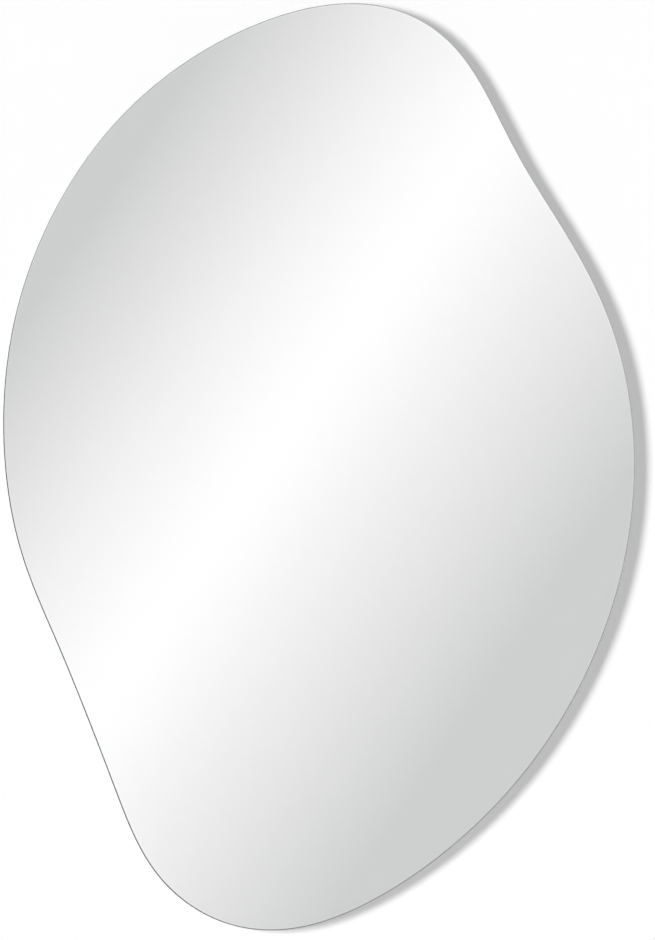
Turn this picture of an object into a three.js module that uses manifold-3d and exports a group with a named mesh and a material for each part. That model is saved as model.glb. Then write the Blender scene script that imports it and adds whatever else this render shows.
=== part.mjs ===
// A frameless wall mirror with a free-form, pebble-like outline.
//
// A plate of float glass carries its silver and protective paint on the back. Strips of foam tape
// bond it to a smaller fibreboard, which stays out of sight behind the glass. A folded aluminium rail
// on the board hooks over a second rail on the wall, and rubber bumpers keep the board parallel to
// the wall. Lifting the mirror by the depth of the hooks frees it from the wall rail.
//
// Millimetres, +Z up. The wall is the plane y = 0 and the room is on the -Y side, so the glass
// faces -Y. The origin is the middle of the wall rail's back face. Left and right are as seen from
// the room.

import * as THREE from 'three';
import { mergeVertices } from 'three/addons/utils/BufferGeometryUtils.js';
import Module from 'manifold-3d';

const wasm = await Module();
wasm.setup();

// ---------------------------------------------------------------- driving dimensions

// Glass plate
const WIDTH = 613;
const HEIGHT = 900;
const GLASS_THICKNESS = 5;
const GLASS_ARRIS = 1; // the polished bevel on both rims

// The outline is a closed uniform cubic B-spline. These are the corners of its control polygon,
// anticlockwise from the right as [across, up] from the middle of the glass. Only their
// proportions matter: the curve is scaled to WIDTH and HEIGHT.
const OUTLINE_CORNERS = [
  [321, -78], [300, 151], [189, 296], [145, 421], // right side, then the hollow right flank
  [20, 474], [-196, 372], [-313, 156], // top and left shoulder
  [-307, -58], [-256, -162], [-196, -317], [-159, -418], // left side, then the flat left flank
  [-20, -481], [212, -320], // bottom and lower right
];
const OUTLINE_STEPS = 12; // straight steps to one span of the spline

// Layers behind the glass. The two coatings are drawn thicker than real ones.
const SILVER_THICKNESS = 0.2;
const PAINT_THICKNESS = 0.2;
const TAPE_THICKNESS = 1.2;
const TAPE_WIDTH = 25;
const TAPE_COUNT = 7;
const TAPE_EDGE_MARGIN = 22; // bare board beside the outer strips
const TAPE_END_MARGIN = 14; // bare board at each strip's ends

// Backing board
const BOARD_THICKNESS = 9;
const BOARD_INSET = 30; // the glass stands over the board by this much all round
const BOARD_CHAMFER = 2; // on the edge nearest the wall

// Hook rails, two lengths of one folded section
const RAIL_LENGTH = 300;
const RAIL_GAUGE = 2;
const RAIL_WEB = 20; // height of the flat that is screwed on
const RAIL_HOOK = 12; // height of the straight part of the hook
const RAIL_TIP_CHAMFER = 0.5;
const RAIL_BELOW_TOP = 250; // from the top of the glass to the wall rail's screw line
const HOOK_CLEARANCE = 0.3;

// Slots in the wall rail for the wall's own screws
const SLOT_HEIGHT = 5.5;
const SLOT_LENGTH = 13;
const SLOT_COUNT = 4;
const SLOT_END = 30; // from the rail's end to the middle of the first slot

// Pan-head wood screws
const SCREW_RADIUS = 1.75;
const SCREW_POINT = 1.5;
const SCREW_FLOOR = 1.4; // board left in front of each pilot hole
const HEAD_RADIUS = 3.6;
const HEAD_HEIGHT = 2.3;
const HEAD_CURVE = [[1, 0], [1, 0.45], [0.82, 0.85], [0.45, 1], [0, 1]]; // in radii and heights
const RECESS_SPAN = 4.2; // tip to tip of the cross recess
const RECESS_ARM = 1;
const RECESS_DEPTH = 1.3;
const RAIL_SCREW_COUNT = 5;
const RAIL_SCREW_END = 20; // from the rail's end to the first screw
const SCREW_CLEARANCE = 0.3;

// Bumpers, each held by a washer and a screw at the bottom of its bore
const BUMPER_BASE_RADIUS = 12;
const BUMPER_TOP_RADIUS = 10;
const BUMPER_CHAMFER = 0.8;
const BUMPER_FLOOR = 4; // rubber under the washer
const BUMPER_BELOW_EDGE = 50; // from the board's top or bottom to the bumper's centre
const BUMPER_SIDE_MARGIN = 36; // from the board's side to the bumper's centre
const WASHER_RADIUS = 5;
const WASHER_THICKNESS = 1;
const WASHER_CLEARANCE = 0.3;

// How finely round shapes are faceted
const HOLE_SIDES = 16;
const SCREW_SIDES = 20;
const BUMPER_SIDES = 24;

// ---------------------------------------------------------------- planes from the wall outwards

// Each hook passes between the other rail's hook and what that rail is screwed to.
const RAIL_OFFSET = 2 * (RAIL_GAUGE + HOOK_CLEARANCE);
const WALL_GAP = 2 * RAIL_OFFSET - HOOK_CLEARANCE;
const WALL_PLANE = 0;
const BOARD_BACK = WALL_PLANE - WALL_GAP;
const BOARD_FRONT = BOARD_BACK - BOARD_THICKNESS;
const PAINT_BACK = BOARD_FRONT - TAPE_THICKNESS;
const SILVER_BACK = PAINT_BACK - PAINT_THICKNESS;
const GLASS_BACK = SILVER_BACK - SILVER_THICKNESS;
const GLASS_FRONT = GLASS_BACK - GLASS_THICKNESS;

// ---------------------------------------------------------------- materials

const finish = (color, roughness, metalness) =>
  new THREE.MeshStandardMaterial({ color, roughness, metalness });
const clearGlass = finish(0xdfe9e5, 0.03, 0);
clearGlass.transparent = true;
clearGlass.opacity = 0.35;
const silver = finish(0xeef1f0, 0.02, 1);
const paint = finish(0x59636a, 0.6, 0);
const foam = finish(0xd9d9d4, 0.9, 0);
const fibreboard = finish(0xa98258, 0.85, 0);
const aluminium = finish(0xc4c6c8, 0.38, 1);
const zincPlate = finish(0xb9bcbe, 0.3, 1);
const rubber = finish(0x1c1c1d, 0.8, 0);

// ---------------------------------------------------------------- outline

// The uniform cubic B-spline's four weights at u, from 0 to 1 along a span.
const splineWeights = (u) => [
  (1 - u) ** 3 / 6,
  (3 * u ** 3 - 6 * u ** 2 + 4) / 6,
  (-3 * u ** 3 + 3 * u ** 2 + 3 * u + 1) / 6,
  u ** 3 / 6,
];

// Points along the control polygon's spline, before it is scaled.
function drawnOutline() {
  const count = OUTLINE_CORNERS.length;
  const points = [];
  for (let span = 0; span < count; span++) {
    for (let step = 0; step < OUTLINE_STEPS; step++) {
      const point = new THREE.Vector2();
      splineWeights(step / OUTLINE_STEPS).forEach((weight, k) => {
        const [across, up] = OUTLINE_CORNERS[(span + k + count - 1) % count];
        point.x += weight * across;
        point.y += weight * up;
      });
      points.push(point);
    }
  }
  return points;
}

// The same points scaled to the glass's width and height, about its middle.
function scaledOutline() {
  const drawn = drawnOutline();
  const box = new THREE.Box2().setFromPoints(drawn);
  const middle = box.getCenter(new THREE.Vector2());
  const size = box.getSize(new THREE.Vector2());
  const scale = new THREE.Vector2(WIDTH / size.x, HEIGHT / size.y);
  return drawn.map((point) => point.sub(middle).multiply(scale));
}

// Where a closed outline's area balances, from the triangles that fan out from its origin.
function balancePoint(outline) {
  const sum = new THREE.Vector2();
  let area = 0;
  outline.forEach((a, i) => {
    const b = outline[(i + 1) % outline.length];
    const twice = a.x * b.y - b.x * a.y;
    area += twice / 2;
    sum.addScaledVector(a.clone().add(b), twice / 6);
  });
  return sum.divideScalar(area);
}

// The glass hangs with its balance point plumb under the middle of the rail.
const RIM = (() => {
  const outline = scaledOutline();
  const shift = new THREE.Vector2(-balancePoint(outline).x, RAIL_BELOW_TOP - HEIGHT / 2);
  return outline.map((point) => point.add(shift));
})();

// The rim moved inwards by a distance, square to itself.
const insetRim = (distance) =>
  RIM.map((point, i) => {
    const before = RIM[(i + RIM.length - 1) % RIM.length];
    const after = RIM[(i + 1) % RIM.length];
    const along = after.clone().sub(before).normalize();
    return new THREE.Vector2(point.x - along.y * distance, point.y + along.x * distance);
  });

// Lowest and highest value of one coordinate where a closed outline crosses a level of the other.
function crossings(outline, level, across, along) {
  const found = [];
  outline.forEach((a, i) => {
    const b = outline[(i + 1) % outline.length];
    if (a[across] < level !== b[across] < level) {
      const share = (level - a[across]) / (b[across] - a[across]);
      found.push(a[along] + share * (b[along] - a[along]));
    }
  });
  return [Math.min(...found), Math.max(...found)];
}

// ---------------------------------------------------------------- solids

// A closed body from outlines of equal length, each at its own depth, ordered from wall to room.
function layered(rings) {
  const count = rings[0].outline.length;
  const positions = rings.flatMap(({ y, outline }) => outline.flatMap((p) => [p.x, y, p.y]));
  const index = [];
  for (let ring = 0; ring + 1 < rings.length; ring++) {
    for (let i = 0; i < count; i++) {
      const a = ring * count + i;
      const b = ring * count + ((i + 1) % count);
      index.push(a, b, b + count, a, b + count, a + count);
    }
  }
  const last = (rings.length - 1) * count;
  THREE.ShapeUtils.triangulateShape(rings[0].outline, []).forEach(([a, b, c]) => index.push(c, b, a));
  THREE.ShapeUtils.triangulateShape(rings.at(-1).outline, []).forEach(([a, b, c]) =>
    index.push(last + a, last + b, last + c),
  );
  return new THREE.BufferGeometry()
    .setAttribute('position', new THREE.Float32BufferAttribute(positions, 3))
    .setIndex(index);
}

// An even plate between two depths.
const plate = (outline, back, front) =>
  layered([{ y: back, outline }, { y: front, outline }]);

// A section drawn as [depth, height] points and run along X, centred on the origin.
function runAlongX(section, length) {
  const shape = new THREE.Shape(section.map(([y, z]) => new THREE.Vector2(y, z)));
  const geometry = new THREE.ExtrudeGeometry(shape, { depth: length, bevelEnabled: false });
  const turnAxes = new THREE.Matrix4().set(0, 0, 1, -length / 2, 1, 0, 0, 0, 0, 1, 0, 0, 0, 0, 0, 1);
  return geometry.applyMatrix4(turnAxes);
}

// A profile of [radius, depth] points turned round an axis that is square to the wall.
const turned = (profile, sides, x, z) =>
  new THREE.LatheGeometry(profile.map(([r, y]) => new THREE.Vector2(r, y)), sides).translate(x, 0, z);

// A round cutter square to the wall, between two depths.
const roundCutter = (radius, from, to, x, z) =>
  new THREE.CylinderGeometry(radius, radius, to - from, HOLE_SIDES).translate(x, (from + to) / 2, z);

// A slot cutter with round ends, long in X, between two depths.
function slotCutter(length, height, from, to, x, z) {
  const radius = height / 2;
  const reach = (length - height) / 2;
  const shape = new THREE.Shape();
  shape.absarc(reach, 0, radius, -Math.PI / 2, Math.PI / 2);
  shape.absarc(-reach, 0, radius, Math.PI / 2, (3 * Math.PI) / 2);
  const options = { depth: to - from, bevelEnabled: false, curveSegments: HOLE_SIDES / 2 };
  const faceTheWall = new THREE.Matrix4().set(1, 0, 0, x, 0, 0, -1, to, 0, 1, 0, z, 0, 0, 0, 1);
  return new THREE.ExtrudeGeometry(shape, options).applyMatrix4(faceTheWall);
}

// Booleans need vertices that are shared, so copies nearer than this are welded into one.
const WELD_DISTANCE = 1e-4;

function toSolid(geometry) {
  const bare = geometry.clone();
  bare.deleteAttribute('normal');
  bare.deleteAttribute('uv');
  const merged = mergeVertices(bare, WELD_DISTANCE);
  return new wasm.Manifold(
    new wasm.Mesh({
      numProp: 3,
      vertProperties: merged.attributes.position.array,
      triVerts: new Uint32Array(merged.index.array),
    }),
  );
}

function toGeometry(solid) {
  const mesh = solid.getMesh();
  return new THREE.BufferGeometry()
    .setAttribute('position', new THREE.BufferAttribute(mesh.vertProperties, 3))
    .setIndex(new THREE.BufferAttribute(mesh.triVerts, 1));
}

// The body less every cutter.
const cut = (body, cutters) =>
  toGeometry(cutters.reduce((solid, cutter) => solid.subtract(toSolid(cutter)), toSolid(body)));

const group = new THREE.Group();

function place(name, geometry, material) {
  const flat = geometry.getIndex() ? geometry.toNonIndexed() : geometry;
  flat.computeVertexNormals();
  const mesh = new THREE.Mesh(flat, material);
  mesh.name = name;
  group.add(mesh);
}

// ---------------------------------------------------------------- glass and its coatings

const coatedFace = insetRim(GLASS_ARRIS);

place(
  'mirror_glass',
  layered([
    { y: GLASS_BACK, outline: coatedFace },
    { y: GLASS_BACK - GLASS_ARRIS, outline: RIM },
    { y: GLASS_FRONT + GLASS_ARRIS, outline: RIM },
    { y: GLASS_FRONT, outline: coatedFace },
  ]),
  clearGlass,
);
place('silver_layer', plate(coatedFace, SILVER_BACK, GLASS_BACK), silver);
place('protective_paint', plate(coatedFace, PAINT_BACK, SILVER_BACK), paint);

// ---------------------------------------------------------------- foam tape

const boardRim = insetRim(BOARD_INSET);
const boardBox = new THREE.Box2().setFromPoints(boardRim);

// Upright strips share the board's width evenly, and each runs as far as the board's outline lets it.
for (let i = 0; i < TAPE_COUNT; i++) {
  const reach = TAPE_EDGE_MARGIN + TAPE_WIDTH / 2;
  const x = THREE.MathUtils.lerp(boardBox.min.x + reach, boardBox.max.x - reach, i / (TAPE_COUNT - 1));
  const left = x - TAPE_WIDTH / 2;
  const right = x + TAPE_WIDTH / 2;
  const [lowLeft, highLeft] = crossings(boardRim, left, 'x', 'y');
  const [lowRight, highRight] = crossings(boardRim, right, 'x', 'y');
  const low = Math.max(lowLeft, lowRight) + TAPE_END_MARGIN;
  const high = Math.min(highLeft, highRight) - TAPE_END_MARGIN;
  const strip = [
    new THREE.Vector2(left, low),
    new THREE.Vector2(right, low),
    new THREE.Vector2(right, high),
    new THREE.Vector2(left, high),
  ];
  place(`mounting_tape_${i + 1}`, plate(strip, BOARD_FRONT, PAINT_BACK), foam);
}

// ---------------------------------------------------------------- hook rails

// The wall rail's section as [depth, height] points, its web centred on z = 0 and its hook upwards.
function hookSection() {
  const bend = RAIL_GAUGE * Math.tan(Math.PI / 8); // a 45 degree bend lowers the outer corner
  const webTop = RAIL_WEB / 2;
  const hookFoot = webTop + RAIL_OFFSET;
  const hookTip = hookFoot + RAIL_HOOK;
  const front = -RAIL_OFFSET - RAIL_GAUGE;
  return [
    [0, -webTop],
    [-RAIL_GAUGE, -webTop],
    [-RAIL_GAUGE, webTop - bend],
    [front, hookFoot - bend],
    [front, hookTip - RAIL_TIP_CHAMFER],
    [front + RAIL_TIP_CHAMFER, hookTip],
    [-RAIL_OFFSET - RAIL_TIP_CHAMFER, hookTip],
    [-RAIL_OFFSET, hookTip - RAIL_TIP_CHAMFER],
    [-RAIL_OFFSET, hookFoot],
    [0, webTop],
  ];
}

// The mirror rail is the same section turned half round. Its hook comes down until its chamfered
// tip meets the 45 degree shoulder inside the wall rail, less a small clearance.
const hookTipHeight = RAIL_WEB / 2 + RAIL_OFFSET + RAIL_HOOK;
const seatHeight = RAIL_WEB / 2 + (WALL_GAP - RAIL_OFFSET) - RAIL_TIP_CHAMFER + HOOK_CLEARANCE;
const mirrorRailHeight = seatHeight + hookTipHeight;
const mirrorSection = hookSection().map(([y, z]) => [BOARD_BACK - y, mirrorRailHeight - z]);

// Places spread evenly along a rail, the outer two at one distance from its ends.
const alongRail = (count, end) =>
  Array.from({ length: count }, (_, i) => {
    const reach = RAIL_LENGTH / 2 - end;
    return THREE.MathUtils.lerp(-reach, reach, i / (count - 1));
  });
const slotPlaces = alongRail(SLOT_COUNT, SLOT_END);
const screwPlaces = alongRail(RAIL_SCREW_COUNT, RAIL_SCREW_END);
const holeRadius = SCREW_RADIUS + SCREW_CLEARANCE;
const overrun = 1; // how far a cutter passes through a face

place(
  'wall_rail',
  cut(
    runAlongX(hookSection(), RAIL_LENGTH),
    slotPlaces.map((x) =>
      slotCutter(SLOT_LENGTH, SLOT_HEIGHT, -RAIL_GAUGE - overrun, WALL_PLANE + overrun, x, 0),
    ),
  ),
  aluminium,
);
place(
  'mirror_rail',
  cut(
    runAlongX(mirrorSection, RAIL_LENGTH),
    screwPlaces.map((x) =>
      roundCutter(holeRadius, BOARD_BACK - overrun, BOARD_BACK + RAIL_GAUGE + overrun, x, mirrorRailHeight),
    ),
  ),
  aluminium,
);

// ---------------------------------------------------------------- screws

const pilotEnd = BOARD_FRONT + SCREW_FLOOR;

// A wood screw whose head rests on a face at one depth, with its point towards the glass.
function screw(seat, x, z) {
  const tip = pilotEnd + SCREW_CLEARANCE;
  const profile = [
    [0, tip],
    [SCREW_RADIUS, tip + SCREW_POINT],
    [SCREW_RADIUS, seat],
    ...HEAD_CURVE.map(([out, up]) => [HEAD_RADIUS * out, seat + HEAD_HEIGHT * up]),
  ];
  const recess = (across, up) =>
    new THREE.BoxGeometry(across, 2 * RECESS_DEPTH, up).translate(x, seat + HEAD_HEIGHT, z);
  return cut(turned(profile, SCREW_SIDES, x, z), [
    recess(RECESS_SPAN, RECESS_ARM),
    recess(RECESS_ARM, RECESS_SPAN),
  ]);
}

screwPlaces.forEach((x, i) =>
  place(`rail_screw_${i + 1}`, screw(BOARD_BACK + RAIL_GAUGE, x, mirrorRailHeight), zincPlate),
);

// ---------------------------------------------------------------- bumpers

const bumperPlaces = [
  ['top', boardBox.max.y - BUMPER_BELOW_EDGE],
  ['bottom', boardBox.min.y + BUMPER_BELOW_EDGE],
].flatMap(([end, z]) => {
  const [left, right] = crossings(boardRim, z, 'y', 'x');
  return [
    { name: `${end}_left`, x: left + BUMPER_SIDE_MARGIN, z },
    { name: `${end}_right`, x: right - BUMPER_SIDE_MARGIN, z },
  ];
});
const floorTop = BOARD_BACK + BUMPER_FLOOR;
const washerTop = floorTop + WASHER_THICKNESS;
const boreRadius = WASHER_RADIUS + WASHER_CLEARANCE;

bumperPlaces.forEach(({ name, x, z }) => {
  const bumper = [
    [holeRadius, BOARD_BACK],
    [BUMPER_BASE_RADIUS, BOARD_BACK],
    [BUMPER_TOP_RADIUS, WALL_PLANE - BUMPER_CHAMFER],
    [BUMPER_TOP_RADIUS - BUMPER_CHAMFER, WALL_PLANE],
    [boreRadius, WALL_PLANE],
    [boreRadius, floorTop],
    [holeRadius, floorTop],
    [holeRadius, BOARD_BACK],
  ];
  const washer = [
    [holeRadius, floorTop],
    [WASHER_RADIUS, floorTop],
    [WASHER_RADIUS, washerTop],
    [holeRadius, washerTop],
    [holeRadius, floorTop],
  ];
  place(`bumper_${name}`, turned(bumper, BUMPER_SIDES, x, z), rubber);
  place(`bumper_washer_${name}`, turned(washer, SCREW_SIDES, x, z), zincPlate);
  place(`bumper_screw_${name}`, screw(washerTop, x, z), zincPlate);
});

// ---------------------------------------------------------------- backing board

const pilot = (x, z) => roundCutter(holeRadius, pilotEnd, BOARD_BACK + overrun, x, z);

place(
  'backing_board',
  cut(
    layered([
      { y: BOARD_BACK, outline: insetRim(BOARD_INSET + BOARD_CHAMFER) },
      { y: BOARD_BACK - BOARD_CHAMFER, outline: boardRim },
      { y: BOARD_FRONT, outline: boardRim },
    ]),
    [
      ...screwPlaces.map((x) => pilot(x, mirrorRailHeight)),
      ...bumperPlaces.map(({ x, z }) => pilot(x, z)),
    ],
  ),
  fibreboard,
);

export default group;
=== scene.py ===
"""A frameless wall mirror with a free-form pebble outline, in front of a white studio wall.

Every shape is a surface worked out from the frame's own sizes: an outline carried through a
profile, or a profile turned round an axis. Lengths are in metres, +Z is up, and the room is on the
-Y side of the wall, so the glass faces -Y.
"""

import math

import bmesh
import bpy
import numpy as np
from bpy.props import (
    FloatProperty,
    FloatVectorProperty,
    IntProperty,
    PointerProperty,
)
from bpy.types import Operator, Panel, PropertyGroup
from mathutils.geometry import tessellate_polygon
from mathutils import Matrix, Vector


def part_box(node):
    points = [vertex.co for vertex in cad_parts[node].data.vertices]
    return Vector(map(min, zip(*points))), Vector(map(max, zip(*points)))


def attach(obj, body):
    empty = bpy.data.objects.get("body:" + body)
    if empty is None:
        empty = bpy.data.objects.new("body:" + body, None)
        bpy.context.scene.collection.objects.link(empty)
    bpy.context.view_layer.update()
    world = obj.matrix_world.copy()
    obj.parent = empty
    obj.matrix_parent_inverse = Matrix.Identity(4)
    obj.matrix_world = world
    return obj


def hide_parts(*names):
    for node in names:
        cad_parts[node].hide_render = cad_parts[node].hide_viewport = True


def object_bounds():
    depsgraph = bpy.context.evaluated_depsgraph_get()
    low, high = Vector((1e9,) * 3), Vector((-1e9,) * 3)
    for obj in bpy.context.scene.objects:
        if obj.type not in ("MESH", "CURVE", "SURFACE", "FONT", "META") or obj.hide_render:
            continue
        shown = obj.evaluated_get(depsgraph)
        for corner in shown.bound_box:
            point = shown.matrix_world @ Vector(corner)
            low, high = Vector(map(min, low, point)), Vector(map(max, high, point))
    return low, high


bl_info = {
    "name": "Pebble Wall Mirror",
    "version": (1, 0, 0),
    "blender": (4, 5, 0),
    "location": "3D View > Sidebar > Mirror",
    "description": "Builds a frameless pebble-shaped wall mirror, its fixings and its studio",
    "category": "Object",
}

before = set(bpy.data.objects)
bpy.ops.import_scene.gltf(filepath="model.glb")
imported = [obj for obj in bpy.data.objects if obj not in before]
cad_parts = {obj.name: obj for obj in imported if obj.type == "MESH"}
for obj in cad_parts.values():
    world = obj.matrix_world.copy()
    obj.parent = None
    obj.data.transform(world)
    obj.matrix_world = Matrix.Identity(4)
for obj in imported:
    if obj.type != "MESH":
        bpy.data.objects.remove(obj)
CAD_BOX = [list(corner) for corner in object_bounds()]
MM = 0.001
SAME = 1e-7  # lengths that differ by less are taken as equal
HANGING = "hanging_mirror"
WALL_SIDE = "wall_side"

# What the studio shows in the mirror: its plain tone, the share of it that the mirror returns, the
# tones of the diagonal band by place across it, the tones that the bevels show by direction in
# degrees anticlockwise from the right, and the tones behind the wall from floor to ceiling.
PLAIN = (0.612, 0.625, 0.618)
MIRRORED = 0.95
BAND_SLOPE = math.radians(34)  # how far the band leans off upright
BAND_HALF = 450  # pixels of the photograph from the middle to place 1 across the band
BAND_TONES = (
    (-0.75, PLAIN), (-0.55, 0.768), (-0.45, 0.842), (-0.35, 0.907), (-0.2, 0.986),
    (-0.145, 1.0), (-0.1, 1.0), (-0.05, 0.983), (0.25, 0.814), (0.565, (0.618, 0.63, 0.624)),
)
BEVEL_TONES = (
    (-180, 0.48), (-165, 0.5), (-135, 0.53), (-105, 0.53), (-90, 0.51), (-70, 0.52), (-54, 0.46),
    (-32, 0.52), (-22, 0.54), (-14, 0.38), (-6, 0.22), (6, 0.03), (18, 0.0), (45, 0.0),
    (57, 0.02), (94, 0.15), (125, 0.2), (150, 0.3), (160, 0.36), (180, 0.48),
)
REAR_TONES = ((0.2, 0.22), (0.45, 0.32), (0.56, 0.47), (0.7, 0.84), (0.85, 0.55))


# ---------------------------------------------------------------- reading the frame


def cad_corners(node):
    """The corner points of a CAD node, one row each, without repeats."""
    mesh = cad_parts[node].data
    corners = np.empty(len(mesh.vertices) * 3, np.float32)
    mesh.vertices.foreach_get("co", corners)
    return np.unique(corners.reshape(-1, 3).astype(float).round(6), axis=0)


def cad_depths(node):
    """The depths at which a plate has corners, from the room to the wall."""
    return np.unique(cad_corners(node)[:, 1])


def cad_outline(node):
    """The widest outline of a plate, anticlockwise as seen from the room.

    A point is a complex number, across + i up.
    """
    corners = cad_corners(node)
    rings = [corners[corners[:, 1] == depth] for depth in cad_depths(node)]
    widest = max(rings, key=lambda ring: np.ptp(ring[:, 0]))
    loop = widest[:, 0] + 1j * widest[:, 2]
    return loop[np.argsort(np.angle(loop - loop.mean()))]


def cad_box(node):
    """Lowest and highest corner of a CAD node, as arrays."""
    low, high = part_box(node)
    return np.array(low), np.array(high)


def cad_axis(low, high):
    """Where the axis of a turned node crosses the wall, across and up, from its box."""
    return (low[0] + high[0]) / 2, (low[2] + high[2]) / 2


def cad_turned(node):
    """The axis of a turned CAD node, and the radius and depth of each of its corners."""
    corners = cad_corners(node)
    centre = cad_axis(corners.min(axis=0), corners.max(axis=0))
    return centre, np.hypot(corners[:, 0] - centre[0], corners[:, 2] - centre[1]), corners[:, 1]


# ---------------------------------------------------------------- surfaces


def smooth_loop(corners, count):
    """A closed loop through the corners, read at `count` even steps.

    The corners are taken as samples of a periodic curve, and the curve is their Fourier series:
    the spectrum is padded with zeros to the new length and transformed back.
    """
    spectrum = np.fft.fft(corners)
    half = len(corners) // 2
    padded = np.zeros(count, complex)
    padded[:half] = spectrum[:half]
    padded[-half:] = spectrum[-half:]
    return np.fft.ifft(padded) * count / len(corners)


def outward(loop):
    """Unit normals of an anticlockwise loop: the tangent, from each point's two neighbours, turned
    a quarter clockwise."""
    tangent = np.roll(loop, -1) - np.roll(loop, 1)
    return -1j * tangent / np.abs(tangent)


def carried(loop, profile):
    """A profile carried along a loop: row k is the loop moved inwards by profile[k, 0], square to
    itself, at the depth profile[k, 1]. Gives points as an array of rows x loop x 3."""
    inset, depth = np.asarray(profile, float).T
    rows = loop[None, :] - inset[:, None] * outward(loop)[None, :]
    return np.stack([rows.real, np.broadcast_to(depth[:, None], rows.shape), rows.imag], axis=-1)


def shrunk(row, shares):
    """Rows between a flat outline and its middle: each is the outline scaled about its mean."""
    middle = row.mean(axis=0)
    return middle + (row - middle)[None] * np.asarray(shares)[:, None, None]


def rounded(profile, radius, steps=4):
    """A profile with its inner corners rounded: each gives way to a quadratic curve that starts and
    ends `radius` away along the two straights and pulls towards the corner."""
    points = np.asarray(profile, float)
    before, corner, after = points[:-2], points[1:-1], points[2:]
    to_before = before - corner
    to_after = after - corner
    reach_before = np.linalg.norm(to_before, axis=1, keepdims=True)
    reach_after = np.linalg.norm(to_after, axis=1, keepdims=True)
    cut = np.minimum(radius, 0.45 * np.minimum(reach_before, reach_after))
    start = corner + to_before / reach_before * cut
    end = corner + to_after / reach_after * cut
    t = np.linspace(0, 1, steps + 1)[None, :, None]
    arcs = (1 - t) ** 2 * start[:, None] + 2 * t * (1 - t) * corner[:, None] + t**2 * end[:, None]
    return np.concatenate([points[:1], arcs.reshape(-1, 2), points[-1:]])


def turned(profile, centre, sides):
    """A profile of (radius, depth) turned round an axis along Y through centre (across, up):
    across + radius cos a, depth, up + radius sin a. Gives points as rows x sides x 3."""
    radius, depth = np.asarray(profile, float).T
    angle = np.arange(sides) * (2 * np.pi / sides)
    across = centre[0] + radius[:, None] * np.cos(angle)
    up = centre[1] + radius[:, None] * np.sin(angle)
    return np.stack([across, np.broadcast_to(depth[:, None], across.shape), up], axis=-1)


def band_faces(rows, columns, start=0, wrap_rows=False):
    """Four-sided faces between neighbouring rows of a grid whose columns close on themselves."""
    row = np.arange(rows if wrap_rows else rows - 1)[:, None]
    column = np.arange(columns)[None, :]
    a = row * columns + column
    b = row * columns + (column + 1) % columns
    above = ((row + 1) % rows) * columns
    faces = np.stack([a, b, above + (column + 1) % columns, above + column], axis=-1)
    return (faces.reshape(-1, 4) + start).tolist()


def fan_faces(pole, start, columns, mirrored=False):
    """Three-sided faces between a pole and the ring of points that begins at `start`."""
    j = np.arange(columns)
    pair = [start + j, start + (j + 1) % columns]
    if mirrored:
        pair.reverse()
    return np.stack([np.full(columns, pole), *pair], axis=-1).tolist()


def closed_skin(rows):
    """Points and faces of a closed surface: rows of rings from the wall towards the room, with a
    pole in the middle of the first ring and of the last."""
    count, columns = rows.shape[:2]
    points = np.concatenate([rows.reshape(-1, 3), rows[:1].mean(axis=1), rows[-1:].mean(axis=1)])
    pole = count * columns
    back = fan_faces(pole, 0, columns, mirrored=True)
    front = fan_faces(pole + 1, pole - columns, columns)
    return points, band_faces(count, columns) + back + front


def add_piece(name, points, faces, materials, face_materials=None, sharp=30.0, body=HANGING):
    """Puts a surface into the scene as a piece that rides on a body. Edges that bend by more than
    `sharp` degrees are kept crisp."""
    mesh = bpy.data.meshes.new(name)
    mesh.from_pydata(points, [], faces)
    for material in materials:
        mesh.materials.append(material)
    if face_materials is not None:
        mesh.polygons.foreach_set("material_index", np.asarray(face_materials, np.int32))
    mesh.shade_smooth()
    mesh.set_sharp_from_angle(angle=math.radians(sharp))
    mesh.update()
    piece = bpy.data.objects.new(name, mesh)
    bpy.context.scene.collection.objects.link(piece)
    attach(piece, body)
    return piece


# ---------------------------------------------------------------- materials


GLASS_IOR = 1.52
NOISE_SWING = (0.3, 0.7)  # nearly all of a noise lies between these


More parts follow.
